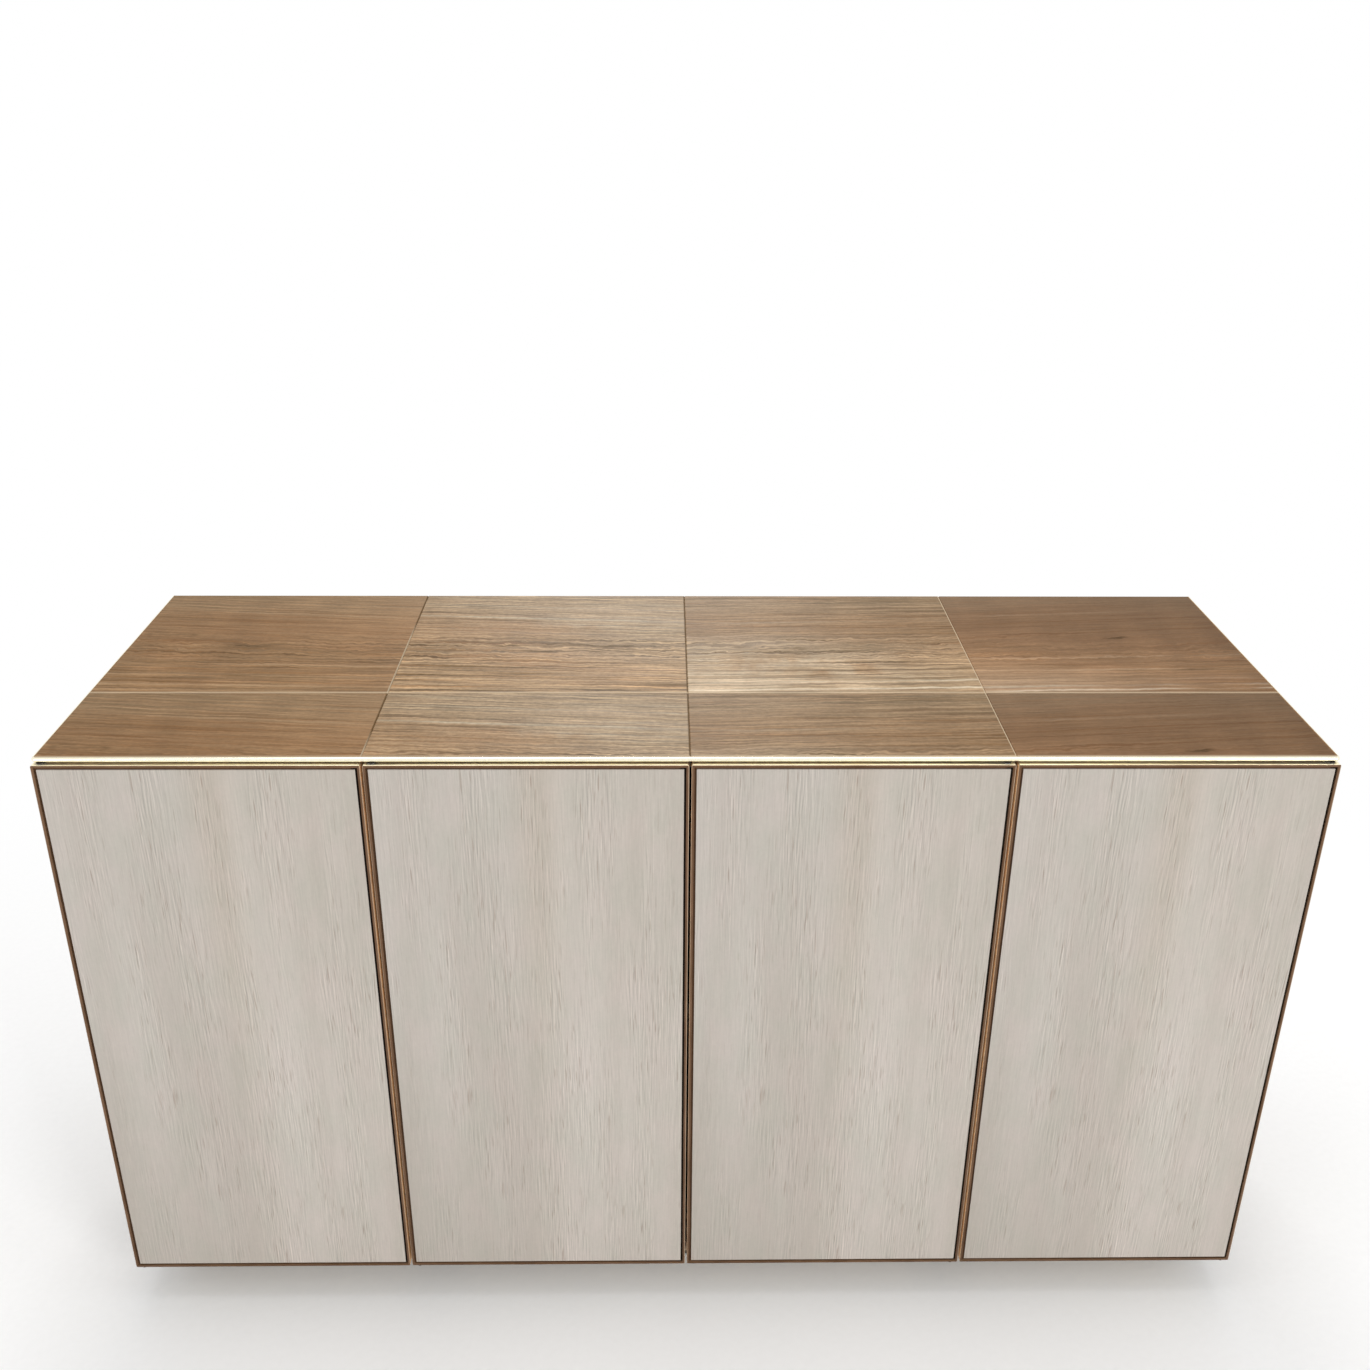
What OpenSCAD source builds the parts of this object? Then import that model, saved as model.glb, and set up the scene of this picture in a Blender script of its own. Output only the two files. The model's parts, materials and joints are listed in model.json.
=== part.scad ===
// Four-door credenza: walnut-leaved top with a brass nosing, pale doors in brass edging on
// top and bottom pivots, three bays with a shelf each, and a plinth set back under the case.
// X runs along the front, +Y to the back, +Z up. The origin is on the floor, under the middle.

/* [Overall] */
// Width over the top, and over the row of doors
width = 1626; // [1400:1:1900]
// Depth from the door fronts to the back edge of the top
depth = 558; // [440:1:700]
// Height of the top surface above the floor
height = 914; // [760:1:1050]

/* [Top] */
// Thickness of the top slab, which is also the height of its half-round nosing
top_t = 6; // [5:0.5:7.5]
// Thickness of the walnut leaves on the core board
leaf_t = 2; // [1.6:0.1:3]
// Width of the V-groove between two leaves
seam_w = 2; // [1:0.1:3]
// Depth of the front row of leaves, from the front edge of the nosing
front_row_d = 190; // [120:1:300]
// Outer radius of the nosing at the two front corners, seen from above
corner_r = 6; // [5:0.5:15]

/* [Doors] */
// Thickness of a door, edging included
door_t = 22; // [20:0.5:28]
// Gap between two doors
door_gap = 3.2; // [3:0.1:6]
// Gap between the doors and the underside of the top slab
door_top_gap = 2.5; // [2.2:0.1:6]
// How far the door fronts stand ahead of the nosing
door_proud = 3; // [0:0.5:8]
// Gap between the doors and the bottom pivot plates
door_lift = 1; // [0.6:0.1:3]
// Thickness of the brass edging, seen from the front
edging_t = 3.4; // [2:0.1:4]
// How far the edging stands ahead of the face panel
edging_proud = 0.5; // [0.2:0.1:0.8]
// Width of the shadow groove between the edging and the face panel
reveal_w = 2.8; // [1:0.1:6]
// Thickness of the face panel
face_t = 2.5; // [1.5:0.1:2.9]
// Radius of a door's four corners, seen from the front
door_corner_r = 2; // [0.5:0.1:3]
// Hairline left at each mitre of the edging
mitre_gap = 0.1; // [0.05:0.05:0.3]

/* [Case] */
// Gap between the backs of the doors and the case
case_gap = 4; // [3.5:0.5:8]
// How far the end panels stand in from the edge of the top
side_inset = 3; // [0:0.5:5]
// How far the back of the case stands in from the back edge of the top
back_inset = 3; // [0:0.5:20]
// Thickness of the end panels
end_t = 22; // [18:1:30]
// Thickness of the two dividers
divider_t = 20; // [18:1:30]
// Thickness of the bottom panel
floor_t = 20; // [18:1:30]
// Thickness of the board under the top slab
sub_top_t = 20; // [18:1:30]
// Thickness of the back panel
back_t = 8; // [4:1:15]

/* [Shelves] */
// Thickness of the shelves
shelf_t = 20; // [15:1:30]
// Height of the shelves' undersides above the bottom panel
shelf_z = 400; // [200:1:520]
// How far the shelves' front edges stand behind the front of the case
shelf_setback = 25; // [5:1:80]
// Play left at each end of a shelf, and behind it
shelf_play = 1; // [0.5:0.1:3]
// Radius of the shelf pegs
peg_r = 2.5; // [2:0.1:4]
// Length of a peg inside its board
peg_in = 8; // [5:0.5:8]
// Length of a peg under its shelf
peg_out = 10; // [6:0.5:20]
// Distance of the pegs from a shelf's front and back edges
peg_inset = 60; // [20:1:120]
// Distance from one peg hole to the next above it
peg_pitch = 32; // [20:1:50]

/* [Base] */
// Height of the case's underside above the floor
base_h = 65; // [45:1:120]
// Thickness of the plinth boards
plinth_t = 18; // [18:1:30]
// How far the plinth stands behind the front of the case
plinth_front_in = 50; // [50:1:120]
// How far the plinth stands in from the ends of the case
plinth_side_in = 40; // [10:1:120]
// How far the plinth stands in from the back of the case
plinth_back_in = 30; // [0:1:100]
// Height of the glides under the plinth
glide_h = 5; // [3:0.5:15]
// Radius of the glides
glide_r = 8.5; // [5:0.5:9]

/* [Pivots] */
// Distance of a door's pivot from its hinge-side edge
pivot_in = 10; // [9:0.5:14]
// Distance of a door's pivot behind its front
pivot_back = 7.5; // [7.5:0.1:8.5]
// Radius of the pivot pins
pin_r = 2.5; // [1.5:0.1:3]
// Radial play of a pin in its bush
pin_play = 0.05; // [0.02:0.01:0.1]
// Outer radius of the bushes
bush_r = 4; // [3.6:0.1:4.3]
// Length of the bushes
bush_h = 14; // [8:1:30]
// Thickness of the plates under the case
low_plate_t = 3; // [2:0.5:5]
// Thickness of the plates let in under the top slab
high_plate_t = 1.5; // [1:0.1:1.8]
// Width of a plate's tongue, whose round end carries the pin
tongue_w = 9; // [8.8:0.1:11]
// Width of a plate where it is screwed to the case
plate_w = 36; // [32:1:60]
// Length of a plate behind the front of the case
plate_d = 44; // [40:1:49]

/* [Screws] */
// Radius of a screw's shank
shank_r = 1.75; // [1:0.05:2]
// Radius of a screw's countersunk head
head_r = 3.4; // [2.5:0.1:3.8]
// Length of a screw
screw_h = 14; // [8:1:16]

/* [Latches] */
// Radius of a latch plunger
plunger_r = 4; // [3:0.1:4.5]
// Radial play of a plunger in its housing
plunger_play = 0.1; // [0.05:0.01:0.3]
// Length of a plunger's thick part
plunger_d = 30; // [20:1:36]
// Play between a plunger and the strike on its door
strike_play = 0.2; // [0.1:0.05:0.4]
// Thickness of the strikes
strike_t = 1.2; // [0.8:0.1:1.6]
// Side of a square strike
strike_w = 16; // [10:1:22]
// Length of the bore behind a plunger, where its spring lies
spring_room = 19.6; // [15:0.1:30]
// Width of a latch housing
housing_w = 14; // [12:0.5:16]
// Height of a latch housing
housing_h = 13; // [11:0.5:16]
// Width over a housing's two screw ears
ear_w = 34; // [33:1:44]
// Distance of a latch's axis from the divider or the middle
latch_in = 20; // [19:1:40]
// Radius of a latch spring, at the middle of its wire
coil_r = 2.9; // [2.7:0.1:3.1]
// Radius of the spring wire
wire_r = 0.45; // [0.3:0.05:0.5]
// Number of turns in a latch spring
coil_turns = 6; // [4:1:8]

/* [Hidden] */
$fn = 32;

// Fixed fits and small details
seat_gap = 0.1;
bush_fit = 0.05;
screw_fit = 0.1;
collar_gap = 0.1;
over = 1;
pin_end_gap = 2;
head_land = 0.3;
head_h = 1.5;
bore_wall = 6;
nose_h = 1;
spigot_r = 1.8;
spigot_d = 6;
ear_t = 3;
ear_d = 16;
peg_rows = 5;
screw_rows = [12, 32];
screw_in = 24;
strike_corner_r = 2;
coil_steps = 10;
coil_sides = 4;

// The top
nosing_r = top_t / 2;
core_r = corner_r - nosing_r;
seam_d = seam_w / 2;
core_t = top_t - leaf_t;

// Planes across the depth
door_front = -depth / 2;
door_back = door_front + door_t;
top_front = door_front + door_proud;
top_back = depth / 2;
case_front = door_back + case_gap;
case_back = top_back - back_inset;
back_front = case_back - back_t;

// Levels
slab_under = height - top_t;
sub_top_under = slab_under - sub_top_t;
floor_top = base_h + floor_t;
door_top = slab_under - door_top_gap;
door_bottom = base_h + door_lift;
door_h = door_top - door_bottom;
shelf_under = floor_top + shelf_z;
latch_z = sub_top_under - housing_h / 2;

// Places along the width
columns = [1:4];
door_w = (width - 3 * door_gap) / 4;
case_side = width / 2 - side_inset;
bay_end = case_side - end_t;
divider_x = door_w + door_gap;
plinth_side = case_side - plinth_side_in;
bays = [
    [-bay_end, -divider_x - divider_t / 2],
    [-divider_x + divider_t / 2, divider_x - divider_t / 2],
    [divider_x + divider_t / 2, bay_end]
];

// Shelves and their pegs
shelf_front = case_front + shelf_setback;
shelf_back = back_front - shelf_play;
peg_rows_y = [shelf_front + peg_inset, shelf_back - peg_inset];
peg_z = shelf_under - seat_gap - peg_r;

// Pivots
pivot_y = door_front + pivot_back;
tongue_d = case_front - pivot_y;
face_front = door_front + edging_proud;
core_front = face_front + face_t;

// Latches
plunger_tip = door_back + strike_t + strike_play;
housing_front = case_front + 1;
plunger_end = plunger_tip + plunger_d;
bore_end = plunger_end + spring_room;
housing_back = bore_end + bore_wall;
ear_y = (housing_front + housing_back) / 2;
ear_screw_x = (ear_w + housing_w) / 4;

// Left edge of a door, counted from the left
function door_left(i) = -width / 2 + (i - 1) * (door_w + door_gap);

// Doors 1 and 2 hang on their left edges, doors 3 and 4 on their right edges
function hand(i) = i <= 2 ? 1 : -1;

function pivot_x(i) = door_left(i) + (hand(i) > 0 ? pivot_in : door_w - pivot_in);

// The latches of the middle bay lie side by side, the others beside the dividers
function latch_x(i) = (i <= 2 ? -1 : 1) * (latch_in + (i == 1 || i == 4 ? divider_x + divider_t / 2 : 0));

// Section across a leaf whose seams lie at a and b
function leaf_section(a, b) = [
    [a, 0], [b, 0], [b, leaf_t - seam_d], [b - seam_d, leaf_t], [a + seam_d, leaf_t], [a, leaf_t - seam_d]
];

// A board between two values on each axis
module board(x, y, z) {
    translate([x[0], y[0], z[0]]) cube([x[1] - x[0], y[1] - y[0], z[1] - z[0]]);
}

// A flat outline set upright, its own Y as height, from depth y to y + t
module upright(y, t) {
    translate([0, y + t, 0]) rotate([90, 0, 0]) linear_extrude(t) children();
}

module rounded_rect(w, h, r) {
    translate([r, 0]) square([w - 2 * r, h]);
    translate([0, r]) square([w, h - 2 * r]);
    for (x = [r, w - r], y = [r, h - r]) translate([x, y]) circle(r);
}

// Outline of the slab inside its nosing, with its two front corners round
module slab_outline() {
    w = width - 2 * nosing_r;
    front = top_front + nosing_r;
    translate([-w / 2, front + core_r]) square([w, top_back - front - core_r]);
    translate([-w / 2 + core_r, front]) square([w - 2 * core_r, 2 * core_r]);
    for (x = [-1, 1]) translate([x * (w / 2 - core_r), front + core_r]) circle(core_r);
}

module top_core() {
    color("tan") translate([0, 0, slab_under]) linear_extrude(core_t) slab_outline();
}

// A walnut leaf: column from the left, and its two seams across the depth
module leaf(i, y) {
    seams = [-width, -divider_x, 0, divider_x, width];
    color([0.62, 0.46, 0.33]) translate([0, 0, height - leaf_t]) intersection() {
        linear_extrude(leaf_t) slab_outline();
        rotate([90, 0, 0]) linear_extrude(2 * depth, center = true)
            polygon(leaf_section(seams[i - 1], seams[i]));
        rotate([90, 0, 90]) linear_extrude(2 * width, center = true)
            polygon(leaf_section(y[0], y[1]));
    }
}

module leaf_front(i) {
    leaf(i, [-depth, top_front + front_row_d]);
}

module leaf_back(i) {
    leaf(i, [top_front + front_row_d, depth]);
}

// Half-round section, its flat side on the Y axis
module nosing_section() {
    intersection() {
        circle(nosing_r);
        translate([0, -nosing_r]) square([nosing_r, top_t]);
    }
}

// The front nosing is bent round both corners
module nosing_front() {
    color([0.86, 0.74, 0.5]) translate([0, 0, height - nosing_r]) {
        translate([0, top_front + nosing_r, 0]) rotate([90, 0, -90])
            linear_extrude(width - 2 * corner_r, center = true) nosing_section();
        for (side = [0, 1]) mirror([side, 0, 0])
            translate([width / 2 - corner_r, top_front + corner_r, 0]) rotate([0, 0, -90])
                rotate_extrude(angle = 90) translate([core_r, 0]) nosing_section();
    }
}

// A side nosing runs from the bend to the back edge
module nosing_side(side) {
    color([0.86, 0.74, 0.5]) translate([side * (width / 2 - nosing_r), top_back, height - nosing_r])
        mirror([side > 0 ? 0 : 1, 0, 0]) rotate([90, 0, 0])
            linear_extrude(top_back - top_front - corner_r) nosing_section();
}

// Countersunk screw with its head at z = 0, pointing down, or the hole for it
module screw(fit = 0) {
    rotate_extrude() polygon([
        [0, fit], [head_r + fit, fit], [head_r + fit, -head_land], [shank_r + fit, -head_h],
        [shank_r + fit, -screw_h - fit], [0, -screw_h - fit]
    ]);
}

// Plan of a pivot plate, from its pin back under or over the case
module plate_outline() {
    circle(tongue_w / 2);
    translate([-tongue_w / 2, 0]) square([tongue_w, tongue_d + plate_d]);
    translate([-tongue_w / 2, tongue_d + 1]) square([plate_w, plate_d - 1]);
}

// Puts a thing at each pivot, mirrored for the doors that hang on their right edges
module at_pivots(z) {
    for (i = columns) translate([pivot_x(i), pivot_y, z]) scale_hand(i) children();
}

module scale_hand(i) {
    mirror([hand(i) > 0 ? 0 : 1, 0, 0]) children();
}

module plate_screws(fit = 0) {
    for (y = screw_rows) translate([screw_in, tongue_d + y, 0]) screw(fit);
}

module low_screws(fit = 0) {
    at_pivots(base_h - low_plate_t) mirror([0, 0, 1]) plate_screws(fit);
}

module high_screws(fit = 0) {
    at_pivots(slab_under) plate_screws(fit);
}

module ear_screws(fit = 0) {
    for (i = columns, side = [-1, 1])
        translate([latch_x(i) + side * ear_screw_x, ear_y, sub_top_under - ear_t])
            mirror([0, 0, 1]) screw(fit);
}

module case_screws() {
    color("silver") {
        low_screws();
        high_screws();
        ear_screws();
    }
}

// Plates under the case, each with a pin up into its door and a collar that carries it
module bottom_pivots() {
    color("gray") difference() {
        at_pivots(base_h - low_plate_t) {
            linear_extrude(low_plate_t) plate_outline();
            cylinder(r = bush_r, h = low_plate_t + door_lift - collar_gap);
            cylinder(r = pin_r, h = low_plate_t + door_lift + bush_h - pin_end_gap);
        }
        low_screws(screw_fit);
    }
}

// Plates let in under the top slab, each with a pin down into its door
module top_pivots() {
    pin_h = door_top_gap + bush_h - pin_end_gap;
    color("gray") difference() {
        at_pivots(slab_under) mirror([0, 0, 1]) {
            linear_extrude(high_plate_t) plate_outline();
            cylinder(r = pin_r, h = pin_h);
        }
        high_screws(screw_fit);
    }
}

module high_plate_pockets() {
    at_pivots(slab_under - high_plate_t) linear_extrude(high_plate_t + over) plate_outline();
}

module sub_top() {
    color("burlywood") difference() {
        board([-bay_end, bay_end], [case_front, back_front], [sub_top_under, slab_under]);
        high_plate_pockets();
        high_screws(screw_fit);
        ear_screws(screw_fit);
    }
}

module bottom_panel() {
    color("burlywood") difference() {
        board([-bay_end, bay_end], [case_front, back_front], [base_h, floor_top]);
        low_screws(screw_fit);
    }
}

// Holes for the shelf pegs in a wall at x, running towards dir
module peg_holes(x, dir) {
    for (y = peg_rows_y, k = [0:peg_rows - 1])
        translate([x - dir * over, y, peg_z + (k - (peg_rows - 1) / 2) * peg_pitch])
            rotate([0, dir * 90, 0]) cylinder(r = peg_r + bush_fit, h = peg_in + seat_gap + over);
}

module end_panel(side) {
    edges = side > 0 ? [bay_end, case_side] : [-case_side, -bay_end];
    color([0.76, 0.72, 0.67]) difference() {
        board(edges, [case_front, case_back], [base_h, slab_under]);
        high_plate_pockets();
        peg_holes(side * bay_end, side);
    }
}

module divider(side) {
    centre = side * divider_x;
    edges = [centre - divider_t / 2, centre + divider_t / 2];
    color("burlywood") difference() {
        board(edges, [case_front, back_front], [floor_top, sub_top_under]);
        peg_holes(edges[0], 1);
        peg_holes(edges[1], -1);
    }
}

module back_panel() {
    color("tan") board([-bay_end, bay_end], [back_front, case_back], [base_h, slab_under]);
}

module shelf(k) {
    edges = [bays[k][0] + shelf_play, bays[k][1] - shelf_play];
    color("burlywood") board(edges, [shelf_front, shelf_back], [shelf_under, shelf_under + shelf_t]);
}

module shelf_pegs() {
    color("silver") for (bay = bays, y = peg_rows_y) {
        translate([bay[0] - peg_in, y, peg_z]) rotate([0, 90, 0]) cylinder(r = peg_r, h = peg_in + peg_out);
        translate([bay[1] - peg_out, y, peg_z]) rotate([0, 90, 0]) cylinder(r = peg_r, h = peg_in + peg_out);
    }
}

module plinth_front() {
    y = case_front + plinth_front_in;
    color("dimgray") board([-plinth_side, plinth_side], [y, y + plinth_t], [glide_h, base_h]);
}

module plinth_back() {
    y = case_back - plinth_back_in;
    color("dimgray") board([-plinth_side, plinth_side], [y - plinth_t, y], [glide_h, base_h]);
}

module plinth_end(side) {
    edges = side > 0 ? [plinth_side - plinth_t, plinth_side] : [-plinth_side, -plinth_side + plinth_t];
    front = case_front + plinth_front_in + plinth_t;
    back = case_back - plinth_back_in - plinth_t;
    color("dimgray") board(edges, [front, back], [glide_h, base_h]);
}

module glides() {
    rows = [case_front + plinth_front_in + plinth_t / 2, case_back - plinth_back_in - plinth_t / 2];
    corner = plinth_side - plinth_t - glide_r;
    color("white") for (x = [-corner, 0, corner], y = rows)
        translate([x, y, 0]) cylinder(r = glide_r, h = glide_h);
}

// A body with a bore for the plunger and spring, and two ears under the board above
module latch_housing(i) {
    translate([latch_x(i), 0, latch_z]) difference() {
        union() {
            board([-housing_w / 2, housing_w / 2], [housing_front, housing_back],
                [-housing_h / 2, housing_h / 2]);
            board([-ear_w / 2, ear_w / 2], [ear_y - ear_d / 2, ear_y + ear_d / 2],
                [housing_h / 2 - ear_t, housing_h / 2]);
        }
        translate([0, housing_front - over, 0]) rotate([-90, 0, 0])
            cylinder(r = plunger_r + plunger_play, h = bore_end - housing_front + over);
    }
}

module latch_housings() {
    color("whitesmoke") difference() {
        for (i = columns) latch_housing(i);
        ear_screws(screw_fit);
    }
}

// A round plunger with a bevelled nose, and a spigot that guides its spring
module latch_plunger(i) {
    color("white") translate([latch_x(i), plunger_tip, latch_z]) rotate([-90, 0, 0]) rotate_extrude()
        polygon([
            [0, 0], [plunger_r - nose_h, 0], [plunger_r, nose_h], [plunger_r, plunger_d],
            [spigot_r, plunger_d], [spigot_r, plunger_d + spigot_d], [0, plunger_d + spigot_d]
        ]);
}

// Coil spring round the spigot, between the plunger and the end of the bore
module latch_spring(i) {
    rings = coil_turns * coil_steps;
    low = plunger_end + seat_gap + wire_r;
    high = bore_end - seat_gap - wire_r;
    points = [
        for (s = [0:rings], k = [0:coil_sides - 1])
            let (turn = 360 * s / coil_steps, round = 360 * k / coil_sides, r = coil_r + wire_r * cos(round))
                [r * cos(turn), low + (high - low) * s / rings + wire_r * sin(round), r * sin(turn)]
    ];
    sides = [
        for (s = [0:rings - 1], k = [0:coil_sides - 1])
            let (a = s * coil_sides + k, b = s * coil_sides + (k + 1) % coil_sides)
                each [[a, b, b + coil_sides], [a, b + coil_sides, a + coil_sides]]
    ];
    last = rings * coil_sides;
    ends = [
        for (k = [1:coil_sides - 2])
            each [[0, k + 1, k], [last, last + k, last + k + 1]]
    ];
    color("silver") translate([latch_x(i), 0, latch_z]) polyhedron(points, concat(sides, ends));
}

module door_bush_holes(i) {
    for (z = [door_bottom - over, door_top - bush_h - seat_gap])
        translate([pivot_x(i), pivot_y, z])
            cylinder(r = bush_r + bush_fit, h = bush_h + seat_gap + over);
}

module door_core(i) {
    left = door_left(i) + edging_t;
    color("tan") difference() {
        board([left, left + door_w - 2 * edging_t], [core_front, door_back],
            [door_bottom + edging_t, door_top - edging_t]);
        door_bush_holes(i);
    }
}

module door_face(i) {
    inset = edging_t + reveal_w;
    left = door_left(i) + inset;
    color([0.77, 0.73, 0.68]) board([left, left + door_w - 2 * inset], [face_front, core_front],
        [door_bottom + inset, door_top - inset]);
}

// Outline of one edging strip: 0 bottom, 1 top, 2 left, 3 right, mitred at both ends
module edging_strip(k) {
    t = edging_t;
    g = mitre_gap;
    flat = [[0, 0], [door_w, 0], [door_w - t, t], [t, t]];
    tall = [[0, g], [t, t + g], [t, door_h - t - g], [0, door_h - g]];
    intersection() {
        rounded_rect(door_w, door_h, door_corner_r);
        if (k == 0) polygon(flat);
        if (k == 1) translate([0, door_h]) mirror([0, 1]) polygon(flat);
        if (k == 2) polygon(tall);
        if (k == 3) translate([door_w, 0]) mirror([1, 0]) polygon(tall);
    }
}

module door_edging(i) {
    color([0.45, 0.34, 0.24]) difference() {
        for (k = [0:3]) translate([door_left(i), 0, door_bottom]) upright(door_front, door_t) edging_strip(k);
        door_bush_holes(i);
    }
}

module door_bushes(i) {
    color("white") for (z = [door_bottom, door_top - bush_h])
        translate([pivot_x(i), pivot_y, z]) difference() {
            cylinder(r = bush_r, h = bush_h);
            translate([0, 0, -over]) cylinder(r = pin_r + pin_play, h = bush_h + 2 * over);
        }
}

module door_strike(i) {
    color("silver") translate([latch_x(i) - strike_w / 2, 0, latch_z - strike_w / 2])
        upright(door_back, strike_t) rounded_rect(strike_w, strike_w, strike_corner_r);
}

top_core();
for (i = columns) {
    leaf_front(i);
    leaf_back(i);
}
nosing_front();
nosing_side(-1);  // nosing_left
nosing_side(1);  // nosing_right
sub_top();
bottom_panel();
end_panel(-1);  // end_panel_left
end_panel(1);  // end_panel_right
divider(-1);  // divider_left
divider(1);  // divider_right
back_panel();
shelf(0);  // shelf_left
shelf(1);  // shelf_middle
shelf(2);  // shelf_right
shelf_pegs();
plinth_front();
plinth_back();
plinth_end(-1);  // plinth_left
plinth_end(1);  // plinth_right
glides();
top_pivots();
bottom_pivots();
case_screws();
latch_housings();
for (i = columns) {
    latch_plunger(i);
    latch_spring(i);
    door_core(i);
    door_face(i);
    door_edging(i);
    door_bushes(i);
    door_strike(i);
}
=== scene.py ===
# Four-door credenza: walnut-leaved top, pale doors in brass edging, three bays, plinth set back.
# Metres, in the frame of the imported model: X along the front, +Y to the back, +Z up.
import json
import math

import bmesh
import bpy
from mathutils import Matrix, Vector

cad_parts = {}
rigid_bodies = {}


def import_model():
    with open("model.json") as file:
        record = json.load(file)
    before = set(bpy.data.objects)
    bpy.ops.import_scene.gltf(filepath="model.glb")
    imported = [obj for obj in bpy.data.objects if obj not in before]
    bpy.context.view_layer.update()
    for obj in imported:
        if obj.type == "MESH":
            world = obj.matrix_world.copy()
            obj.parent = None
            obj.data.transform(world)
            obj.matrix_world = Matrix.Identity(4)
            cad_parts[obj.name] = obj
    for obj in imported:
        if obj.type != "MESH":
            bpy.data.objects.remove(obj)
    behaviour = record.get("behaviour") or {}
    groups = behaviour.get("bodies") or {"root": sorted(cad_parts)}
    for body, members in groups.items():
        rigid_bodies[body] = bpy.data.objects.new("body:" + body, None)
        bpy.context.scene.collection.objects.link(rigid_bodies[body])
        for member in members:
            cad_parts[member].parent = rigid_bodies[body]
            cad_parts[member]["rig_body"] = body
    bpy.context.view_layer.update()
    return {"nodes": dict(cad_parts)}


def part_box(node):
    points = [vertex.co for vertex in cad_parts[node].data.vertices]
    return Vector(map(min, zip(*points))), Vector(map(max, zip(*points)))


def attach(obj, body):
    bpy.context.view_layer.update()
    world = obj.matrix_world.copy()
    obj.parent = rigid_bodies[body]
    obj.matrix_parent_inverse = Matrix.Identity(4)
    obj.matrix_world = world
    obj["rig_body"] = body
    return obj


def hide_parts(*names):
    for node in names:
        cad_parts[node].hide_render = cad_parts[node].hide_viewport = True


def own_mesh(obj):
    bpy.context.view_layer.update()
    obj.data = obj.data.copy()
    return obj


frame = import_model()
nodes = frame["nodes"]
doorNumbers = (1, 2, 3, 4)
print("frame loaded:", len(nodes), "nodes")


# Shader helpers: a value may be a plain number or colour, or the socket that feeds it

noiseSpan = (0.3, 0.7)  # what a noise mostly keeps within


def addNode(tree, kind, inputs=None, **settings):
    # inputs: what each socket gets, by its name or its number
    node = tree.nodes.new(kind)
    for key, value in settings.items():
        setattr(node, key, value)
    for key, value in (inputs or {}).items():
        feed(tree, node.inputs[key], value)
    return node


def feed(tree, socket, value):
    if isinstance(value, bpy.types.NodeSocket):
        tree.links.new(value, socket)
    elif socket.type == "RGBA" and len(value) == 3:
        socket.default_value = (*value, 1)
    else:
        socket.default_value = value


def calc(tree, operation, a, b=0.0, clamp=False):
    return addNode(tree, "ShaderNodeMath", {0: a, 1: b}, operation=operation, use_clamp=clamp).outputs[0]


def plus(tree, a, b):
    return calc(tree, "ADD", a, b)


def minus(tree, a, b):
    return calc(tree, "SUBTRACT", a, b)


def times(tree, product, *others):
    for value in others:
        product = calc(tree, "MULTIPLY", product, value)
    return product


def place(tree, vector, move=(0, 0, 0), scale=(1, 1, 1)):
    return addNode(tree, "ShaderNodeMapping", {"Vector": vector, "Location": move, "Scale": scale}).outputs[0]


def objectPoint(tree):
    return addNode(tree, "ShaderNodeTexCoord").outputs["Object"]


def split(tree, vector):
    return addNode(tree, "ShaderNodeSeparateXYZ", {0: vector}).outputs


def join(tree, x, y, z):
    return addNode(tree, "ShaderNodeCombineXYZ", {0: x, 1: y, 2: z}).outputs[0]


def noise(tree, vector, scale, detail=2.0, roughness=0.5, move=(0, 0, 0)):
    point = place(tree, vector, move, scale)
    inputs = {"Vector": point, "Scale": 1, "Detail": detail, "Roughness": roughness}
    return addNode(tree, "ShaderNodeTexNoise", inputs).outputs["Fac"]


def fit(tree, value, low, high, start=0.0, end=1.0, smooth=False):
    inputs = dict(enumerate((value, low, high, start, end)))
    kind = "SMOOTHSTEP" if smooth else "LINEAR"
    return addNode(tree, "ShaderNodeMapRange", inputs, clamp=True, interpolation_type=kind).outputs[0]


def mix(tree, amount, a, b, blend="MIX"):
    return addNode(tree, "ShaderNodeMix", {0: amount, 6: a, 7: b}, data_type="RGBA", blend_type=blend,
                   clamp_factor=True).outputs[2]


def tint(tree, colour, amount):
    # Makes a colour lighter or darker by a factor
    return mix(tree, 1.0, colour, join(tree, amount, amount, amount), "MULTIPLY")


def swing(tree, value, start, end):
    # Runs from start to end as a noise goes from low to high
    return fit(tree, value, *noiseSpan, start, end)


def vary(tree, colour, value, start, end):
    # A tint that swings with a noise
    return tint(tree, colour, swing(tree, value, start, end))


def wave(tree, vector, scale, height):
    # A noise about zero, to bend a grain by
    return times(tree, minus(tree, noise(tree, vector, scale, 1), 0.5), height)


def ridge(tree, value, sharpness):
    # A thin line where the value passes one half
    away = calc(tree, "ABSOLUTE", minus(tree, value, 0.5))
    return calc(tree, "SUBTRACT", 1.0, times(tree, away, sharpness), clamp=True)


def bell(tree, value, middle, halfWidth):
    # 1 at the middle, falling off softly to both sides
    offset = calc(tree, "DIVIDE", minus(tree, value, middle), halfWidth)
    return calc(tree, "EXPONENT", times(tree, offset, offset, -1.0))


def blob(tree, vector, centre, size):
    # A soft round hill, 1 at its centre
    away = place(tree, vector, [-c / s for c, s in zip(centre, size)], [1 / s for s in size])
    dot = addNode(tree, "ShaderNodeVectorMath", {0: away, 1: away}, operation="DOT_PRODUCT")
    return calc(tree, "EXPONENT", times(tree, dot.outputs["Value"], -1.0))


def paintedEmboss(tree, grain, beside, pattern):
    # One pattern less the same pattern read beside it: painted light and shade, giving each line a lit side
    # and a shaded side
    return minus(tree, noise(tree, grain, *pattern), noise(tree, beside, *pattern))


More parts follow.
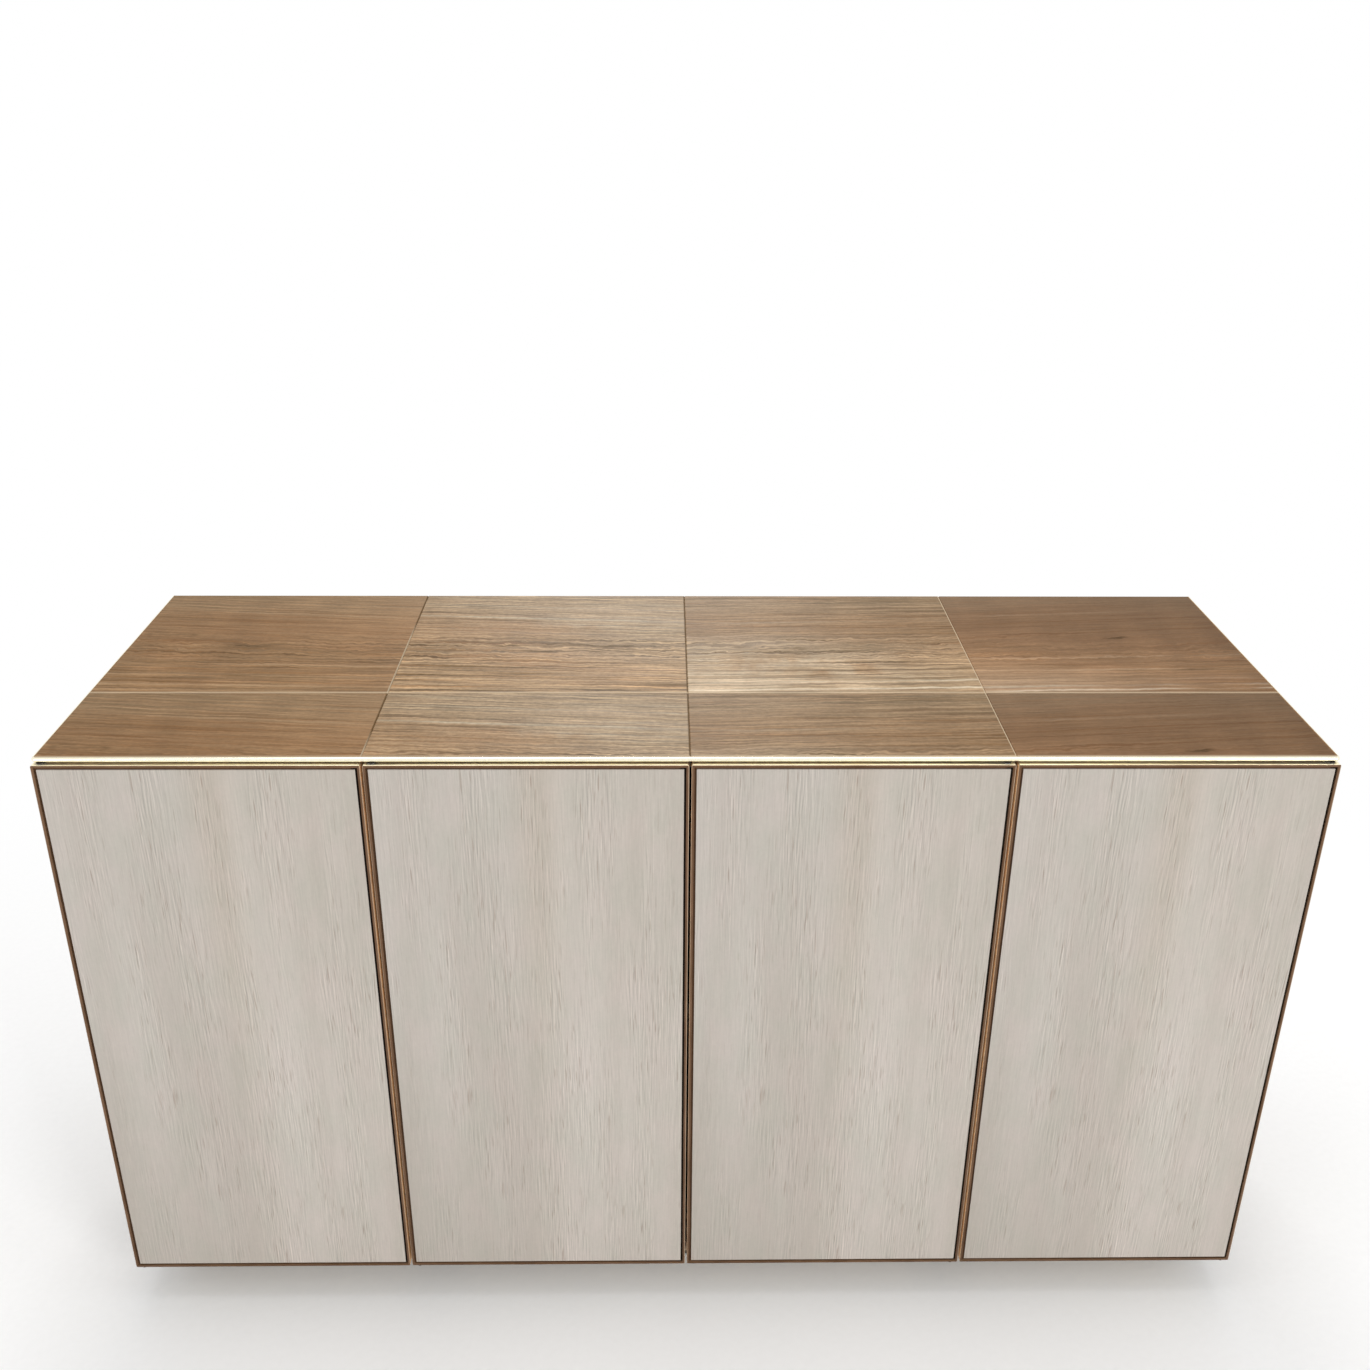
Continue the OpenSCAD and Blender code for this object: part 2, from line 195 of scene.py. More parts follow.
def bump(tree, height, strength, distance, below=None):
    inputs = {"Height": height, "Strength": strength, "Distance": distance}
    if below is not None:
        inputs["Normal"] = below
    return addNode(tree, "ShaderNodeBump", inputs).outputs[0]


def stretched(grainAxis, along, across):
    return [along if axis == grainAxis else across for axis in "XYZ"]


def newMaterial(name):
    material = bpy.data.materials.new(name)
    material.use_nodes = True
    return material, material.node_tree, material.node_tree.nodes["Principled BSDF"]


def surface(tree, shader, colour, roughness, normal):
    for name, value in (("Base Color", colour), ("Roughness", roughness), ("Normal", normal)):
        feed(tree, shader.inputs[name], value)


# Walnut leaves: each column is one figure, and its front leaf repeats the start of its back leaf

walnut = {
    "dark": (0.222, 0.109, 0.044),
    "mid": (0.270, 0.140, 0.059),
    "light": (0.328, 0.188, 0.090),
    "golden": (0.374, 0.208, 0.094),
    "grey": (0.292, 0.206, 0.120),
    # The next two are pale colours for painted sheen and painted highlights, and also for pale strands of
    # grain
    "hazeSheenAndGrain": (0.430, 0.345, 0.238),
    "creamHighlightAndGrain": (0.570, 0.455, 0.315),
    "bright": (0.420, 0.282, 0.162),
    "line": (0.100, 0.055, 0.018),
    "roughness": (0.37, 0.49),
    "shine": 0.03,
    "jointWidth": 0.0017,
    "jointBlur": 0.0004,
    # arris: the band behind each leaf's front edge that gets a painted highlight
    "arris": (0.0050, 0.0036),
    # The offset between each line's painted lit side and its painted shaded side
    "paintedEmboss": 0.0026,
    "seeds": (3.1, 7.7, 12.4, 18.9),
}

# Noise scale along and across the leaf and through it, detail, roughness, shift
walnutPatterns = {
    "broad": ((1.4, 22, 1), 2),
    "streak": ((4.0, 150, 1), 3, 0.66),
    "fine": ((16, 300, 1), 3, 0.65),
    "fibre": ((60, 1500, 1), 2, 0.6),
    "cloud": ((12, 3.0, 1), 2),
    "shimmer": ((150, 190, 1), 2, 0.6),
    "blotches": ((24, 16, 1), 3),
    "lines": ((2.3, 92, 1), 2),
    "thinLines": ((4.8, 185, 1), 1),
    "brightLines": ((3.4, 120, 1), 1, 0.5, (5, 3, 0)),
    "breaks": ((7, 50, 1), 2),
    "gaps": ((7, 45, 1), 2),
    "slivers": ((16, 420, 1), 2, 0.6),
    "relief": ((4.0, 130, 1), 2, 0.6),
}

# Waves that bend the grain: noise scale and height
walnutWaves = (((3.2, 7, 1), 0.012), ((15, 24, 1), 0.0170), ((42, 60, 1), 0.0125), ((95, 130, 1), 0.0085))

# Strengths; where there are two, at the back and at the front
walnutShares = {
    "light": 0.62,
    "blotches": 0.85,
    "plain": 0.7,
    "lines": (0.24, 0.62),
    "thinLines": (0.24, 0.36),
    "brightLines": 0.42,
    "relief": (1.1, 1.6),
    "fine": 0.18,
    "fibre": 0.12,
    "cloud": 0.09,
    "shimmer": 0.09,
    "joint": 0.8,
    "arris": 0.55,
}

# Between which depths, from a leaf's back edge, each thing changes
walnutDepths = {
    "slope": (0.10, 0.30),
    "lively": (0.13, 0.20),
    "calm": (0.23, 0.29),
    "front": (0.13, 0.24),
    "back": (0.125, 0.02),
    "gold": (0.22, 0.335),
    "tone": (0.12, 0.30),
    "joint": (0.11, 0.17),
}

# What each column shows, with lengths along and across the leaf from its back left corner:
# slopes: of the grain at the back and at the front
# tones: left and right brightness at the back, then at the front
# gold: share of the golden front
# contrast, hue: strength of the lines, and a tint of the whole leaf
# patchy: soft blotches as share, along, across, half length, half width, or a share of 0 for none
# zones of painted sheen: pale areas as along, across, half length, half width, share, colour
# plain: brown areas with few lines, as along, across, half length, half width, share
# strands: pale lines as across, half width, share, colour
# wisps: dark lines as along, across, half length, half width, share
# eyes: rings as along, across, half length, half width, share
# joint: colour of the right edge at the back and at the front; a pale one is a painted highlight on the
# joint's lit slope
columnFigures = (
    {
        "slopes": (0.09, 0.036), "tones": (0.8, 0.88, 0.88, 0.89), "gold": 0.55,
        "contrast": 0.85, "hue": (1.0, 0.985, 0.955),
        "patchy": (0,),
        "paintedSheen": (),
        "plain": ((0.23, 0.125, 0.2, 0.05, 0.75),),
        "strands": ((0.04, 0.002, 0.45, "bright"), (0.06, 0.0025, 0.5, "bright"),
                    (0.262, 0.0026, 0.6, "bright"), (0.299, 0.0026, 0.6, "bright"),
                    (0.333, 0.0034, 0.7, "bright"), (0.35, 0.0026, 0.5, "bright")),
        "wisps": ((0.18, 0.19, 0.034, 0.0038, 0.65), (0.2, 0.196, 0.09, 0.0019, 0.5),
                  (0.33, 0.206, 0.05, 0.002, 0.5), (0.07, 0.153, 0.02, 0.002, 0.4),
                  (0.3, 0.17, 0.03, 0.003, 0.3)),
        "eyes": ((0.046, 0.157, 0.042, 0.012, 0.45), (0.29, 0.15, 0.054, 0.017, 0.3)),
        "joint": ("line", "hazeSheenAndGrain"),
    },
    {
        "slopes": (0.07, 0.034), "tones": (0.96, 0.95, 1.06, 1.18), "gold": 0.5,
        "contrast": 1.5, "hue": (0.99, 1.015, 1.03),
        "patchy": (1.0, 0.18, 0.135, 0.16, 0.045),
        "paintedSheen": ((0.31, 0.06, 0.19, 0.095, 0.95, "hazeSheenAndGrain"), (0.33, 0.1, 0.13, 0.06, 0.45, "creamHighlightAndGrain"),
                  (0.38, 0.19, 0.12, 0.08, 0.6, "hazeSheenAndGrain"), (0.09, 0.02, 0.13, 0.045, 0.5, "hazeSheenAndGrain")),
        "plain": ((0.08, 0.14, 0.12, 0.036, 0.75), (0.3, 0.045, 0.12, 0.025, 0.4)),
        "strands": ((0.036, 0.002, 0.5, "hazeSheenAndGrain"), (0.083, 0.0028, 0.8, "hazeSheenAndGrain"),
                    (0.314, 0.003, 0.7, "bright"), (0.332, 0.0028, 0.6, "bright"),
                    (0.348, 0.0025, 0.5, "bright")),
        "wisps": ((0.238, 0.188, 0.046, 0.0042, 0.8), (0.308, 0.192, 0.026, 0.0042, 0.75),
                  (0.15, 0.178, 0.05, 0.0019, 0.6), (0.197, 0.215, 0.024, 0.0036, 0.7),
                  (0.24, 0.211, 0.09, 0.0018, 0.6), (0.34, 0.18, 0.05, 0.0018, 0.5),
                  (0.143, 0.196, 0.02, 0.003, 0.55), (0.33, 0.205, 0.07, 0.0017, 0.45)),
        "eyes": ((0.225, 0.196, 0.09, 0.014, 0.35),),
        "joint": ("line", "line"),
    },
    {
        "slopes": (-0.035, -0.03), "tones": (0.89, 0.84, 1.27, 1.21), "gold": 0.25,
        "contrast": 1.12, "hue": (0.975, 1.025, 1.08),
        "patchy": (1.0, 0.16, 0.275, 0.24, 0.055),
        "paintedSheen": ((0.04, 0.325, 0.26, 0.06, 0.85, "creamHighlightAndGrain"), (0.08, 0.235, 0.21, 0.06, 0.8, "hazeSheenAndGrain"),
                  (0.07, 0.24, 0.18, 0.045, 0.4, "creamHighlightAndGrain"), (0.33, 0.33, 0.15, 0.04, 0.55, "hazeSheenAndGrain")),
        "plain": ((0.3, 0.13, 0.12, 0.045, 0.75),),
        "strands": ((0.056, 0.0024, 0.6, "bright"), (0.116, 0.0028, 0.8, "bright"),
                    (0.333, 0.003, 0.65, "creamHighlightAndGrain"), (0.3575, 0.0028, 0.8, "creamHighlightAndGrain")),
        "wisps": ((0.017, 0.19, 0.032, 0.0021, 0.6), (0.18, 0.186, 0.05, 0.0021, 0.6),
                  (0.11, 0.228, 0.12, 0.0023, 0.8), (0.175, 0.233, 0.028, 0.0028, 0.55),
                  (0.08, 0.207, 0.012, 0.0048, 0.45), (0.165, 0.217, 0.012, 0.0048, 0.4),
                  (0.23, 0.23, 0.02, 0.0032, 0.6), (0.3, 0.242, 0.06, 0.0019, 0.45),
                  (0.04, 0.263, 0.06, 0.0019, 0.45), (0.25, 0.265, 0.05, 0.0019, 0.45),
                  (0.08, 0.293, 0.09, 0.0019, 0.45), (0.13, 0.312, 0.13, 0.0017, 0.4)),
        "eyes": (),
        "joint": ("creamHighlightAndGrain", "creamHighlightAndGrain"),
    },
    {
        "slopes": (-0.085, -0.028), "tones": (0.72, 0.53, 1.15, 0.78), "gold": 0.3,
        "contrast": 0.6, "hue": (1.0, 0.99, 1.04),
        "patchy": (0,),
        "paintedSheen": ((0.03, 0.335, 0.2, 0.05, 0.45, "hazeSheenAndGrain"),),
        "plain": ((0.26, 0.095, 0.22, 0.08, 0.8), (0.3, 0.2, 0.15, 0.04, 0.6)),
        "strands": ((0.09, 0.0025, 0.55, "bright"), (0.25, 0.0025, 0.55, "bright"),
                    (0.292, 0.0026, 0.6, "bright"), (0.324, 0.003, 0.7, "bright"),
                    (0.345, 0.0028, 0.7, "hazeSheenAndGrain"), (0.3585, 0.0025, 0.85, "creamHighlightAndGrain")),
        "wisps": ((0.235, 0.186, 0.018, 0.0034, 0.95), (0.082, 0.211, 0.055, 0.0021, 0.55),
                  (0.34, 0.296, 0.06, 0.002, 0.5)),
        "eyes": (),
        "joint": ("mid", "mid"),
    },
)


def walnutLeaf(column, low, high, name):
    look, figure = walnut, columnFigures[column]
    contrast, seed = figure["contrast"], look["seeds"][column]
    width, depth = high.x - low.x, high.y - low.y
    material, tree, shader = newMaterial(name)
    u, v = split(tree, place(tree, objectPoint(tree), (-low.x, high.y, seed), (1, -1, 1)))[:2]
    flat = join(tree, u, v, seed)

    def pattern(kind, vector):
        return noise(tree, vector, *walnutPatterns[kind])

    def byDepth(kind, start=0.0, end=1.0):
        return fit(tree, v, *walnutDepths[kind], start, end, True)

    def spot(vector, along, deep, halfLength, halfWidth):
        return blob(tree, vector, (along, deep, seed), (halfLength, halfWidth, 1))

    # Across the grain: bent by a slope that changes towards the front, and by waves of four sizes
    across = minus(tree, v, times(tree, u, byDepth("slope", *figure["slopes"])))
    lively = minus(tree, byDepth("lively", 0.30, 1.0), byDepth("calm", 0, 0.70))
    for scale, height in walnutWaves:
        across = plus(tree, across, times(tree, wave(tree, flat, scale, height), lively))
    grain = join(tree, u, across, seed)
    streak, fine, fibre = (pattern(kind, grain) for kind in ("streak", "fine", "fibre"))

    colour = mix(tree, fit(tree, pattern("broad", grain), 0.36, 0.64), look["dark"], look["mid"])
    colour = mix(tree, fit(tree, streak, 0.42, 0.62, 0, walnutShares["light"]), colour, look["light"])
    # The back of a leaf is paler and greyer, the front golden and striped
    greyShare = times(tree, byDepth("back"), fit(tree, streak, 0.38, 0.60, 0.30, 0.80))
    colour = mix(tree, greyShare, colour, look["grey"])
    goldShare = times(tree, byDepth("gold", 0, figure["gold"]), fit(tree, streak, 0.42, 0.58, 0.25, 1))
    colour = mix(tree, goldShare, colour, look["golden"])
    # Painted sheen: pale areas where the finish reflects light, following the stripes of the grain
    for *area, share, kind in figure["paintedSheen"]:
        stripe = fit(tree, streak, 0.38, 0.58, 0.75 * share, share)
        colour = mix(tree, times(tree, spot(grain, *area), stripe), colour, look[kind])
    share, *area = figure["patchy"]
    if share:
        blotches = fit(tree, pattern("blotches", flat), 0.38, 0.64, 0, 1, True)
        blotches = times(tree, blotches, spot(flat, *area), share * walnutShares["blotches"])
        colour = mix(tree, blotches, colour, look["mid"])
    quiet = 1.0
    for *area, share in figure["plain"]:
        brown = spot(grain, *area)
        colour = mix(tree, times(tree, brown, share * walnutShares["plain"]), colour, look["mid"])
        quiet = times(tree, quiet, minus(tree, 1.0, times(tree, brown, share)))
    # Growth lines, strongest towards the front, with finer ones between
    front = byDepth("front")
    broken = times(tree, fit(tree, pattern("breaks", grain), 0.36, 0.56, 0.20, 1), quiet)

    def forward(kind):
        start, end = walnutShares[kind]
        return fit(tree, front, 0, 1, start * contrast, end * contrast)

    for kind, sharpness in (("lines", 6), ("thinLines", 4)):
        growth = times(tree, ridge(tree, pattern(kind, grain), sharpness), broken, forward(kind))
        colour = mix(tree, growth, colour, look["line"])
    bright = ridge(tree, pattern("brightLines", grain), 5)
    colour = mix(tree, times(tree, bright, walnutShares["brightLines"] * contrast), colour, look["bright"])
    # Painted light and shade: each line has a lit side and a shaded side
    beside = join(tree, u, plus(tree, across, look["paintedEmboss"]), seed)
    relief = times(tree, paintedEmboss(tree, grain, beside, walnutPatterns["relief"]), quiet, forward("relief"))
    colour = tint(tree, colour, plus(tree, relief, 1.0))
    # Pale strands, dark wisps and eyes, each in its own place
    gaps = pattern("gaps", grain)
    for deep, halfWidth, share, kind in figure["strands"]:
        strand = bell(tree, across, deep, halfWidth)
        strand = times(tree, strand, fit(tree, gaps, 0.40, 0.58, 0.15 * share, share))
        colour = mix(tree, strand, colour, look[kind])
    sliver = fit(tree, pattern("slivers", grain), 0.36, 0.56, 0.30, 1.15)
    for *area, share in figure["wisps"]:
        wisp = times(tree, fit(tree, spot(grain, *area), 0.12, 0.62), sliver, share)
        colour = mix(tree, wisp, colour, look["line"])
    for *area, share in figure["eyes"]:
        eye = times(tree, ridge(tree, spot(grain, *area), 7), broken, share)
        colour = mix(tree, eye, colour, look["line"])
    # Finer changes of tone, then the tone of the whole leaf
    for kind, value, strength in (("fine", fine, contrast), ("fibre", fibre, 1),
                                  ("cloud", pattern("cloud", flat), 1),
                                  ("shimmer", pattern("shimmer", flat), contrast)):
        change = walnutShares[kind] * strength
        colour = vary(tree, colour, value, 1 - change, 1 + change)
    tones = figure["tones"]
    backTone, frontTone = (fit(tree, u, 0, width, *pair) for pair in (tones[:2], tones[2:]))
    colour = tint(tree, colour, byDepth("tone", backTone, frontTone))
    colour = mix(tree, 1.0, colour, figure["hue"], "MULTIPLY")
    # The joint at the right edge, a pale joint colour being a painted highlight on the joint's lit slope, and
    # a painted highlight along the front arris
    joint = width - look["jointWidth"]
    backJoint, frontJoint = (look[kind] for kind in figure["joint"])
    jointColour = mix(tree, fit(tree, v, *walnutDepths["joint"]), backJoint, frontJoint)
    edge = times(tree, fit(tree, u, joint - look["jointBlur"], joint), walnutShares["joint"])
    colour = mix(tree, edge, colour, jointColour)
    highlightRim = fit(tree, v, *(depth - inset for inset in look["arris"]))
    colour = mix(tree, times(tree, highlightRim, walnutShares["arris"]), colour, look["creamHighlightAndGrain"])

    shader.inputs["Specular IOR Level"].default_value = look["shine"]
    normal = bump(tree, fine, 0.20, 0.0004, bump(tree, fibre, 0.25, 0.0002))
    surface(tree, shader, colour, swing(tree, streak, *look["roughness"]), normal)
    return material


# Pale brushed wood of the doors and ends: the grain stands upright

paleWood = {
    "base": (0.520, 0.479, 0.431),
    "dark": (0.450, 0.406, 0.356),
    "tan": (0.452, 0.388, 0.322),
    "line": (0.255, 0.180, 0.135),
    "warm": (0.985, 1.0, 0.985),
    "pink": (1.012, 0.99, 0.995),
    "width": 0.404,
    "sides": (0.982, 1.022),
    "bandAt": 0.212,
    "bandWidth": 0.030,
    "bandShares": (0.12, 0.50),
    "brushed": 0.92,
    "pores": 0.45,
    # The offset between each line's painted lit side and its painted shaded side
    "paintedEmboss": 0.0008,
    "roughness": (0.47, 0.60),
    "shine": 0.30,
}

# Noise scale across and up the board and through it, detail, roughness
palePatterns = {
    "tone": ((9, 0.9, 1), 2),
    "streak": ((60, 3.0, 1), 2, 0.6),
    "fine": ((420, 26, 1), 2, 0.6),
    "cluster": ((24, 3.2, 1), 2),
    "mottle": ((22, 13, 1), 3, 0.6),
    "grit": ((260, 170, 1), 2, 0.6),
    "brushed": ((380, 22, 1), 1, 0.5),
    "pores": ((470, 24, 1), 1, 0.5),
}
paleWaves = (((2.2, 1.6, 1), 0.022), ((20, 7, 1), 0.0014))


def paleBoard(name, low, high, across="X"):
    # across: the axis that runs over the board's face, at right angles to its grain
    look = paleWood
    height = high.z - low.z
    material, tree, shader = newMaterial(name)
    if across == "X":
        u, depth, v = split(tree, place(tree, objectPoint(tree), (-low.x, 0, -low.z)))
    else:
        depth, u, v = split(tree, place(tree, objectPoint(tree), (0, -low.y, -low.z)))
    flat = join(tree, u, v, depth)
    bent = u
    for scale, sway in paleWaves:
        bent = plus(tree, bent, wave(tree, flat, scale, sway))
    grain = join(tree, bent, v, depth)
    beside = join(tree, plus(tree, bent, look["paintedEmboss"]), v, depth)

    def pattern(kind, vector):
        return noise(tree, vector, *palePatterns[kind])

    tone, streak, fine, cluster = (pattern(kind, grain) for kind in ("tone", "streak", "fine", "cluster"))
    mottle, grit = (pattern(kind, flat) for kind in ("mottle", "grit"))
    cluster = fit(tree, cluster, 0.44, 0.62, 0.16, 1)
    colour = mix(tree, fit(tree, tone, 0.36, 0.66), look["base"], look["dark"])
    band = bell(tree, bent, look["bandAt"], look["bandWidth"])
    upper = fit(tree, v, 0.30 * height, 0.95 * height, *look["bandShares"], True)
    colour = mix(tree, times(tree, band, upper), colour, look["tan"])
    side = fit(tree, u, 0.35 * look["width"], 0.65 * look["width"], *look["sides"], True)
    colour = tint(tree, colour, side)
    colour = vary(tree, colour, streak, 0.98, 1.02)
    colour = vary(tree, colour, mottle, 0.975, 1.025)
    colour = vary(tree, colour, grit, 0.982, 1.018)
    colour = vary(tree, colour, fine, 0.972, 1.028)
    # Brushed lines, gathered in clusters, each with a painted lit side and a painted shaded side
    brushed = times(tree, paintedEmboss(tree, grain, beside, palePatterns["brushed"]), look["brushed"], cluster)
    colour = tint(tree, colour, plus(tree, brushed, 1.0))
    # Pores: short dark dashes
    dash = fit(tree, pattern("pores", grain), 0.63, 0.72)
    colour = mix(tree, times(tree, dash, cluster, look["pores"]), colour, look["line"])
    blush = mix(tree, fit(tree, mottle, 0.35, 0.65), look["warm"], look["pink"])
    colour = mix(tree, 1.0, colour, blush, "MULTIPLY")

    shader.inputs["Specular IOR Level"].default_value = look["shine"]
    relief = minus(tree, fine, times(tree, dash, 0.7))
    surface(tree, shader, colour, swing(tree, fine, *look["roughness"]), bump(tree, relief, 0.40, 0.0003))
    return material


# Plain case timber: grain along one axis, at a tone of its own

def caseTimber(name, kind, grainAxis, roughness=0.5, seed=0.0):
    base, dark = finish[kind]
    material, tree, shader = newMaterial(name)
    point = place(tree, objectPoint(tree), (seed, seed * 0.7, seed * 1.3))
    shift = wave(tree, point, (2, 2, 2), 0.5)
    grain = place(tree, point, scale=stretched(grainAxis, 1, 14))
    grain = join(tree, *(plus(tree, side, shift) for side in split(tree, grain)))
    tone = noise(tree, grain, (0.8, 0.8, 0.8), 2)
    rings = noise(tree, grain, (5, 5, 5), 3, 0.6)
    fibre = noise(tree, grain, (36, 36, 36), 2, 0.6)
    colour = mix(tree, fit(tree, rings, 0.35, 0.68), base, dark)
    colour = vary(tree, colour, tone, 0.90, 1.08)
    colour = vary(tree, colour, fibre, 0.92, 1.06)
    rough = swing(tree, fibre, roughness - 0.06, roughness + 0.08)
    surface(tree, shader, colour, rough, bump(tree, fibre, 0.25, 0.0003))
    return material


# Groove round a door's panel: stained brown, with a painted shadow, near black, down its right side

# black and the right side's width: the painted shadow down the groove's right side, where the edging shades
# it
groove = {"brown": (0.120, 0.066, 0.036), "black": (0.014, 0.008, 0.005), "rightShadowWidth": 0.012, "blur": 0.001,
          "roughness": (0.54, 0.68), "shine": 0.06}


def stainedGrooveWithShadow(name, right):
    material, tree, shader = newMaterial(name)
    point = objectPoint(tree)
    grain = noise(tree, point, (900, 900, 30), 2, 0.6)
    side = right - groove["rightShadowWidth"]
    # Painted shadow: near black within that width of the right edge
    rightShadow = fit(tree, split(tree, point)[0], side, side + groove["blur"])
    colour = vary(tree, mix(tree, rightShadow, groove["brown"], groove["black"]), grain, 0.80, 1.15)
    shader.inputs["Specular IOR Level"].default_value = groove["shine"]
    surface(tree, shader, colour, swing(tree, grain, *groove["roughness"]), bump(tree, grain, 0.2, 0.0002))
    return material


# Metals: brushed along one axis, with clouded tone

# Rubbed bright edges: wear, with a painted highlight that is stronger on the right side, where the light
# comes from
wearAndGlint = {"width": 0.0011, "left": 0.15, "right": 0.42, "colour": (0.80, 0.62, 0.45)}


def brushedMetal(name, kind, grainAxis, roughness, brush=0.15, edges=None):
    # edges: the two places in X where the metal is rubbed bright, as wear with a painted highlight
    base, clouded = finish[kind]
    material, tree, shader = newMaterial(name)
    point = objectPoint(tree)
    cloud = noise(tree, point, (14, 14, 14), 3, 0.6)
    speck = noise(tree, point, (160, 160, 160), 2, 0.6)
    lines = noise(tree, point, stretched(grainAxis, 30, 2500), 2, 0.6)
    colour = mix(tree, fit(tree, cloud, 0.38, 0.68), base, clouded)
    colour = vary(tree, colour, speck, 0.94, 1.04)
    if edges:
        x = split(tree, point)[0]
        reach = wearAndGlint["width"]
        left = fit(tree, x, edges[0] + reach, edges[0] + reach / 2, 0, wearAndGlint["left"])
        right = fit(tree, x, edges[1] - reach, edges[1] - reach / 2, 0, wearAndGlint["right"])
        colour = mix(tree, calc(tree, "MAXIMUM", left, right), colour, wearAndGlint["colour"])
    shader.inputs["Metallic"].default_value = 1
    rough = swing(tree, lines, roughness - 0.05, roughness + 0.06)
    rough = plus(tree, rough, fit(tree, cloud, 0.35, 0.7, 0.0, 0.08))
    surface(tree, shader, colour, rough, bump(tree, lines, brush, 0.0001))
    return material


def mouldedPlastic(name, base, roughness=0.42):
    material, tree, shader = newMaterial(name)
    point = objectPoint(tree)
    cloud = noise(tree, point, (60, 60, 60), 2)
    skin = noise(tree, point, (2600, 2600, 2600), 2, 0.6)
    rough = swing(tree, cloud, roughness - 0.05, roughness + 0.07)
    surface(tree, shader, vary(tree, base, cloud, 0.94, 1.04), rough, bump(tree, skin, 0.2, 0.0001))
    return material


# Each finish: its main colour, and the one it clouds or darkens to
finish = {
    "brass": ((0.99, 0.94, 0.76), (0.96, 0.89, 0.68)),
    # The next four colour one brass edging by facing, as painted light and shade: dark brown fronts, lighter
    # inner faces, bright arrises and bright outer sides
    "edgingFrontShade": ((0.205, 0.118, 0.070), (0.145, 0.080, 0.045)),
    "litInner": ((0.36, 0.23, 0.135), (0.27, 0.165, 0.095)),
    "arrisHighlight": ((0.94, 0.76, 0.56), (0.84, 0.66, 0.48)),
    "pale": ((0.87, 0.69, 0.48), (0.82, 0.63, 0.43)),
    "steel": ((0.52, 0.51, 0.49), (0.42, 0.41, 0.39)),
    "black": ((0.042, 0.032, 0.024), (0.028, 0.021, 0.016)),
    "maple": ((0.52, 0.40, 0.27), (0.42, 0.30, 0.19)),
    "back": ((0.44, 0.34, 0.24), (0.36, 0.26, 0.17)),
    "core": ((0.36, 0.25, 0.15), (0.28, 0.18, 0.10)),
    "plinth": ((0.060, 0.045, 0.034), (0.038, 0.028, 0.021)),
}
brassAlongX = brushedMetal("polishedBrass", "brass", "X", 0.20, 0.10)
brassAlongY = brushedMetal("polishedBrassSide", "brass", "Y", 0.20, 0.10)
# Painted light and shade on the door edging, by facing: lighter inner faces, bright arrises, bright tops and
# bright outer sides
bronzeInner = brushedMetal("bronzeInner", "litInner", "Z", 0.60)
bronzeArris = brushedMetal("bronzeArris", "arrisHighlight", "Z", 0.26)
litEdgeTop = brushedMetal("brassEdgeTop", "brass", "X", 0.42)
litEdgeSide = brushedMetal("brassEdgeSide", "pale", "Z", 0.60)
steelPlain = brushedMetal("steelParts", "steel", "Y", 0.30)
steelBlack = brushedMetal("blackenedSteel", "black", "Y", 0.45)
steelWire = brushedMetal("springWire", "steel", "X", 0.24)
nylonWhite = mouldedPlastic("nylonWhite", (0.70, 0.69, 0.66))
nylonGrey = mouldedPlastic("nylonGrey", (0.42, 0.42, 0.41))
mapleAlong = caseTimber("caseTimberAlong", "maple", "X")
mapleUp = caseTimber("caseTimberUpright", "maple", "Z", seed=4.0)
backTimber = caseTimber("backTimber", "back", "Z", 0.6, 8.0)
coreBoard = caseTimber("coreBoard", "core", "X", 0.7, 2.0)
plinthAlong = caseTimber("plinthAlong", "plinth", "X", 0.5, 1.0)
plinthAcross = caseTimber("plinthAcross", "plinth", "Y", 0.5, 5.0)
print("materials ready:", len(bpy.data.materials))


# Mesh helpers

mergeGap = 0.000002
flatAngle = math.radians(0.5)
easeAngle = math.radians(35)
facing = 0.7  # a face looks along an axis when that much of its normal does


def mergedMesh(node, joinFlats=True):
    # A copy of a CAD node's mesh, with its loose triangles merged
    mesh = nodes[node].data.copy()
    bm = bmesh.new()
    bm.from_mesh(mesh)
    bmesh.ops.remove_doubles(bm, verts=bm.verts, dist=mergeGap)
    if joinFlats:
        bmesh.ops.dissolve_limit(bm, angle_limit=flatAngle, verts=bm.verts, edges=bm.edges)
    bm.to_mesh(mesh)
    bm.free()
    return mesh


def newObject(name, data):
    thing = bpy.data.objects.new(name, data)
    bpy.context.scene.collection.objects.link(thing)
    return thing


def bakeModifiers(thing):
    # The evaluated result as a plain mesh, with the modifiers gone
    graph = bpy.context.evaluated_depsgraph_get()
    mesh = bpy.data.meshes.new_from_object(thing.evaluated_get(graph), depsgraph=graph)
    name = thing.name
    bpy.data.objects.remove(thing)
    mesh.name = name
    return newObject(name, mesh)


def stand(piece, slot, *cadNodes):
    # The piece rides on the body of the nodes that it stands for
    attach(piece, nodes[cadNodes[0]]["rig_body"])
    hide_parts(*cadNodes)
    return piece


def easedCopy(node, name, materials, slot, width, segments=2, arris=-1, choose=None):
    # A CAD node's form with its edges eased; choose picks a material by a face's normal and centre,
    # and arris is the material of the eased edges, or -1 for that of the faces beside them
    mesh = mergedMesh(node)
    mesh.materials.clear()
    for material in materials:
        mesh.materials.append(material)
    for face in mesh.polygons:
        face.use_smooth = True
        face.material_index = choose(face.normal, face.center) if choose else 0
    piece = newObject(name, mesh)
    bevel = piece.modifiers.new("ease", "BEVEL")
    bevel.width = width
    bevel.segments = segments
    bevel.limit_method = "ANGLE"
    bevel.angle_limit = easeAngle
    bevel.harden_normals = True
    bevel.material = arris
    return stand(bakeModifiers(piece), slot, node)


# Geometry Nodes helpers

